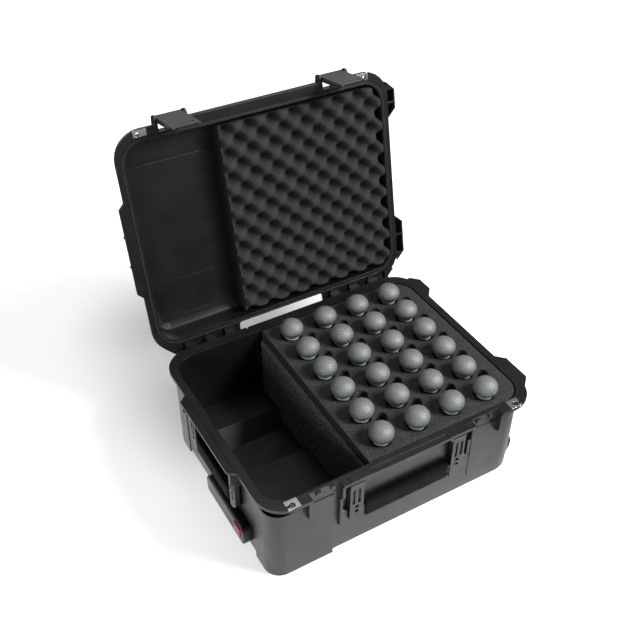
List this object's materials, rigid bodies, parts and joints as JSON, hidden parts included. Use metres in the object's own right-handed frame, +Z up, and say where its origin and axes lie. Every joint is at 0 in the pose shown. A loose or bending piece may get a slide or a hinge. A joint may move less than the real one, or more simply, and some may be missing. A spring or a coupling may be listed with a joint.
{
  "type": "microphone case",
  "caption": "Wheeled hard case with a hinged latching lid, folding and pull-out handles, and foam pockets holding ball-head microphones.",
  "frame": {"origin": "middle of the container's footprint, on the ground under its centre foot", "axes": "+X along the length from the pull handle to the wheels, +Y from the latches to the hinge, +Z up"},
  "size_m": [0.64, 0.6408, 0.6928],
  "materials": {
    "shell_plastic": "fine moulded grain",
    "latch_plastic": "smooth satin",
    "grip_rubber": "soft matte",
    "seal_rubber": "matte",
    "foam": "open cell foam",
    "steel": "brushed",
    "tube_metal": "satin",
    "red_plastic": "satin",
    "wheel_rubber": "matte",
    "microphone_metal": "fine wire mesh over a painted body"
  },
  "bodies": {
    "container": {"base_shell": "shell_plastic", "foam_top": "foam", "foam_stack": "foam", "hinge_pin_left": "steel", "hinge_pin_right": "steel", "front_handle_pin_left": "steel", "front_handle_pin_right": "steel", "side_handle_pin_front": "steel", "side_handle_pin_back": "steel", "wheel_axle_front": "steel", "wheel_axle_back": "steel", "padlock_base_left": "steel", "padlock_base_right": "steel", "pull_sleeve_front": "shell_plastic", "pull_sleeve_back": "shell_plastic", "mic_1_1": "microphone_metal", "mic_1_2": "microphone_metal", "mic_1_3": "microphone_metal", "mic_1_4": "microphone_metal", "mic_1_5": "microphone_metal", "mic_1_6": "microphone_metal", "mic_2_1": "microphone_metal", "mic_2_2": "microphone_metal", "mic_2_3": "microphone_metal", "mic_2_4": "microphone_metal", "mic_2_5": "microphone_metal", "mic_2_6": "microphone_metal", "mic_3_1": "microphone_metal", "mic_3_2": "microphone_metal", "mic_3_3": "microphone_metal", "mic_3_4": "microphone_metal", "mic_3_5": "microphone_metal", "mic_3_6": "microphone_metal", "mic_4_1": "microphone_metal", "mic_4_2": "microphone_metal", "mic_4_3": "microphone_metal", "mic_4_4": "microphone_metal", "mic_4_5": "microphone_metal", "mic_4_6": "microphone_metal"},
    "lid": {"lid_shell": "shell_plastic", "lid_gasket": "seal_rubber", "lid_foam": "foam", "padlock_lid_left": "steel", "padlock_lid_right": "steel", "latch_pin_left": "steel", "latch_pin_right": "steel"},
    "left_latch": {"latch_left": "latch_plastic"},
    "right_latch": {"latch_right": "latch_plastic"},
    "left_release": {"latch_trigger_left": "latch_plastic"},
    "right_release": {"latch_trigger_right": "latch_plastic"},
    "front_handle": {"front_handle_frame": "shell_plastic", "front_handle_grip": "grip_rubber"},
    "side_handle": {"side_handle_frame": "shell_plastic", "side_handle_grip": "grip_rubber"},
    "pull_handle": {"pull_handle_grip": "grip_rubber", "pull_tube_front": "tube_metal", "pull_tube_back": "tube_metal"},
    "release_button": {"pull_handle_button": "red_plastic"},
    "front_wheel": {"wheel_front": "wheel_rubber"},
    "back_wheel": {"wheel_back": "wheel_rubber"}
  },
  "joints": [
    {"name": "lid_hinge", "type": "hinge", "parent": "container", "child": "lid", "pos_m": [0, 0.243, 0.198], "axis": [1, 0, 0], "range_deg": [0, 102], "deforming": ["lid_foam"]},
    {"name": "left_latch_hinge", "type": "hinge", "parent": "lid", "child": "left_latch", "pos_m": [-0.179, 0.37031, 0.67189], "axis": [-1, 0, 0], "range_deg": [-6, 95]},
    {"name": "right_latch_hinge", "type": "hinge", "parent": "lid", "child": "right_latch", "pos_m": [0.179, 0.37031, 0.67189], "axis": [-1, 0, 0], "range_deg": [-6, 95]},
    {"name": "front_handle_hinge", "type": "hinge", "parent": "container", "child": "front_handle", "pos_m": [0, -0.2283, 0.192], "axis": [-1, 0, 0], "range_deg": [0, 90]},
    {"name": "side_handle_hinge", "type": "hinge", "parent": "container", "child": "side_handle", "pos_m": [-0.2983, 0, 0.192], "axis": [0, 1, 0], "range_deg": [0, 90]},
    {"name": "pull_handle_slide", "type": "slide", "parent": "container", "child": "pull_handle", "axis": [-1, 0, 0], "range_m": [0, 0.36]},
    {"name": "release_button_press", "type": "slide", "parent": "pull_handle", "child": "release_button", "axis": [1, 0, 0], "range_m": [0, 0.002], "stiffness_N_per_m": 500, "springref_m": -0.002},
    {"name": "left_release_press", "type": "hinge", "parent": "left_latch", "child": "left_release", "pos_m": [-0.179, 0.32902, 0.67962], "axis": [1, 0, 0], "range_deg": [0, 8], "stiffness_Nm_per_rad": 0.3, "springref_deg": -5.73},
    {"name": "right_release_press", "type": "hinge", "parent": "right_latch", "child": "right_release", "pos_m": [0.179, 0.32902, 0.67962], "axis": [1, 0, 0], "range_deg": [0, 8], "stiffness_Nm_per_rad": 0.3, "springref_deg": -5.73},
    {"name": "front_wheel_spin", "type": "hinge", "parent": "container", "child": "front_wheel", "pos_m": [0.256, -0.182, 0.0425], "axis": [0, 1, 0], "continuous": true},
    {"name": "back_wheel_spin", "type": "hinge", "parent": "container", "child": "back_wheel", "pos_m": [0.256, 0.182, 0.0425], "axis": [0, 1, 0], "continuous": true}
  ]
}
